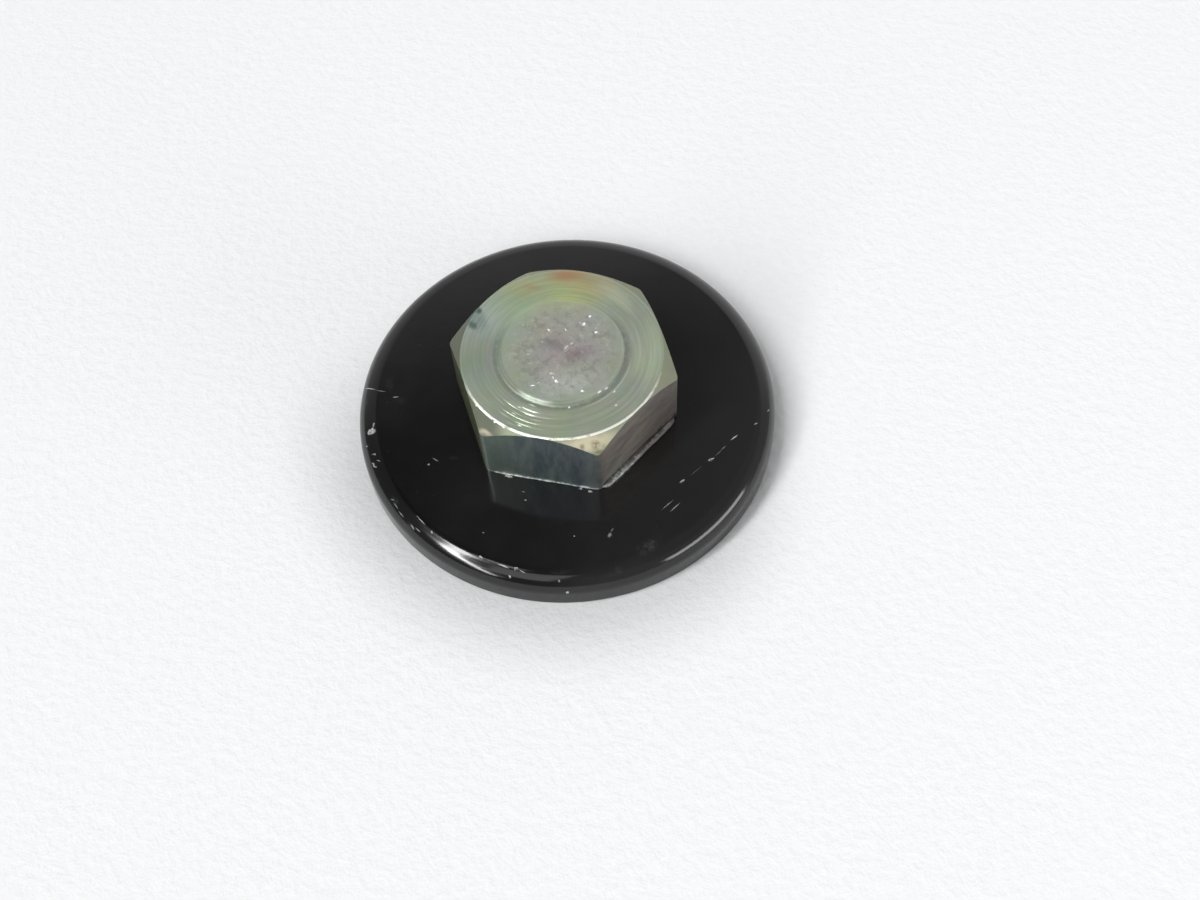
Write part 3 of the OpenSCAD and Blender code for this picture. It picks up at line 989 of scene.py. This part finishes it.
class FILLERCAP_OT_stage(bpy.types.Operator):
    """Sets up the floor, the light and the camera"""
    bl_idname = "fillercap.stage"
    bl_label = "Stage"

    def execute(self, context):
        settings = context.scene.cap_stage
        context.scene.view_settings.view_transform = "Standard"
        self.floor(settings)
        self.world(context.scene)
        for lamp in LAMPS:
            self.lamp(settings, *lamp)
        self.camera(context.scene, settings)
        return {"FINISHED"}

    def floor(self, settings):
        """Wide pale floor that the cap stands on, with a shadow painted round the cap, strongest at the
        front and left.
        """
        sheet = bmesh.new()
        bmesh.ops.create_grid(sheet, x_segments=1, y_segments=1, size=2)
        mesh = bpy.data.meshes.new("floor")
        sheet.to_mesh(mesh)
        sheet.free()
        material, finish = new_finish("pale_floor", {"Roughness": 0.9, "Specular IOR Level": 0.1})
        place = finish.node("ShaderNodeTexCoord", output="Object")
        here = finish.vector("MULTIPLY", place, (1 / MM,) * 3)
        fibres = finish.grain(here, 0.6, 4.0, 0.6)
        darker = [channel * 0.93 for channel in settings.floor]
        foam = finish.mix(fibres, darker, settings.floor)
        across, away, _ = finish.axes(finish.viewer_frame(settings.azimuth))
        # Painted shadow: the floor is darkened round the cap's front and left, where the rim would shade it
        shaded = finish.turned(here).ramp(47, 32) * away.ramp(25, -12) * across.ramp(42, 20)
        painted_shadow = shaded * 0.23
        feed(finish, {
            "Base Color": finish.mix(painted_shadow, foam, (40, 40, 42)),
            "Normal": finish.bump(fibres * 0.5, 0.5),
        })
        mesh.materials.append(material)
        floor = bpy.data.objects.new("floor", mesh)
        bpy.context.scene.collection.objects.link(floor)

    def world(self, scene):
        """Room light with a window at the front left, brighter behind and dimmer overhead."""
        world = bpy.data.worlds.new("room")
        world.use_nodes = True
        scene.world = world
        finish = Finish(world.node_tree)
        seen = finish.viewer_frame(scene.cap_stage.azimuth, "Generated", 1)
        across, away, up = finish.axes(seen)
        behind = away.ramp(0.35, 0.85)
        low = (up + across * 0.15).ramp(0.81, 0.765)
        window = self.glow(finish, seen, WINDOW, 0.75)
        halo = self.glow(finish, seen, WINDOW_HALO, 0.0)
        level = 0.05 + across.ramp(-0.3, 0.3) * 0.3 + low * (0.14 + 0.65 * behind) + window + halo
        path = finish.node("ShaderNodeLightPath", output="Is Camera Ray")
        strength = level + path * (BACKDROP - level)
        background = world.node_tree.nodes["Background"]
        world.node_tree.links.new(strength.socket, background.inputs["Strength"])
        background.inputs["Color"].default_value = (1, 1, 1, 1)

    def glow(self, finish, seen, table, inner):
        """Round patches of light on the sky, from azimuth, elevation, radius and radiance."""
        patches = []
        for *angles, radiance in table:
            azimuth, elevation, radius = map(math.radians, angles)
            patches.append((towards(azimuth, elevation), (radius,) * 3, 0, radiance))
        return finish.marks(seen, patches, inner)

    def lamp(self, settings, name, azimuth, elevation, width, height, radiance):
        """Rectangular softbox that faces the cap, its size given as angles."""
        light = bpy.data.lights.new(name, "AREA")
        light.shape = "RECTANGLE"
        light.size = 2 * LAMP_DISTANCE * math.tan(math.radians(width) / 2)
        light.size_y = 2 * LAMP_DISTANCE * math.tan(math.radians(height) / 2)
        light.energy = settings.light * radiance * math.pi * light.size * light.size_y
        lamp = bpy.data.objects.new(name, light)
        bpy.context.scene.collection.objects.link(lamp)
        axes = station(math.radians(azimuth) + settings.azimuth, math.radians(elevation))
        turned = Matrix(axes).transposed().to_4x4()
        lamp.matrix_world = Matrix.Translation(axes[2] * LAMP_DISTANCE) @ turned
        lamp.visible_camera = False

    def camera(self, scene, settings):
        """Camera at the photograph's angle."""
        camera = bpy.data.cameras.new("camera")
        camera.sensor_width = 36
        camera.lens = 45
        camera.clip_start = 0.01
        bearing = settings.azimuth - math.pi / 2
        right, up, back = station(bearing, settings.elevation, settings.roll)
        place = right * settings.aside + up * settings.above + back * settings.distance
        holder = bpy.data.objects.new("camera", camera)
        scene.collection.objects.link(holder)
        turned = Matrix((right, up, back)).transposed().to_4x4()
        holder.matrix_world = Matrix.Translation(place) @ turned
        scene.camera = holder


class FILLERCAP_PT_panel(bpy.types.Panel):
    """Lists the pieces of the filler cap"""
    bl_idname = "FILLERCAP_PT_panel"
    bl_label = "Filler cap"
    bl_space_type = "VIEW_3D"
    bl_region_type = "UI"
    bl_category = "Filler cap"

    def draw(self, context):
        for operator, holder, group in PARTS:
            self.layout.operator(operator.bl_idname)
            if group:
                settings = getattr(context.scene, holder)
                for name in group.__annotations__:
                    self.layout.prop(settings, name)


PARTS = [
    (FILLERCAP_OT_stage, "cap_stage", CapStageSettings),
    (FILLERCAP_OT_lid, "cap_lid", CapLidSettings),
    (FILLERCAP_OT_nut, "cap_nut", CapNutSettings),
    (FILLERCAP_OT_foot_lip, None, None),
    (FILLERCAP_OT_seal, "cap_seal", CapSealSettings),
]


def register():
    """Registers the settings, the operators and the panel."""
    for operator, holder, group in PARTS:
        if group:
            bpy.utils.register_class(group)
            setattr(bpy.types.Scene, holder, bpy.props.PointerProperty(type=group))
        bpy.utils.register_class(operator)
    bpy.utils.register_class(FILLERCAP_PT_panel)


def unregister():
    """Removes what register added."""
    bpy.utils.unregister_class(FILLERCAP_PT_panel)
    for operator, holder, group in reversed(PARTS):
        bpy.utils.unregister_class(operator)
        if group:
            delattr(bpy.types.Scene, holder)
            bpy.utils.unregister_class(group)


def main():
    """Builds the stage and every piece."""
    register()
    bpy.ops.fillercap.stage()
    bpy.ops.fillercap.lid()
    bpy.ops.fillercap.nut()
    bpy.ops.fillercap.foot_lip()
    bpy.ops.fillercap.seal()


if __name__ == "__main__":
    main()
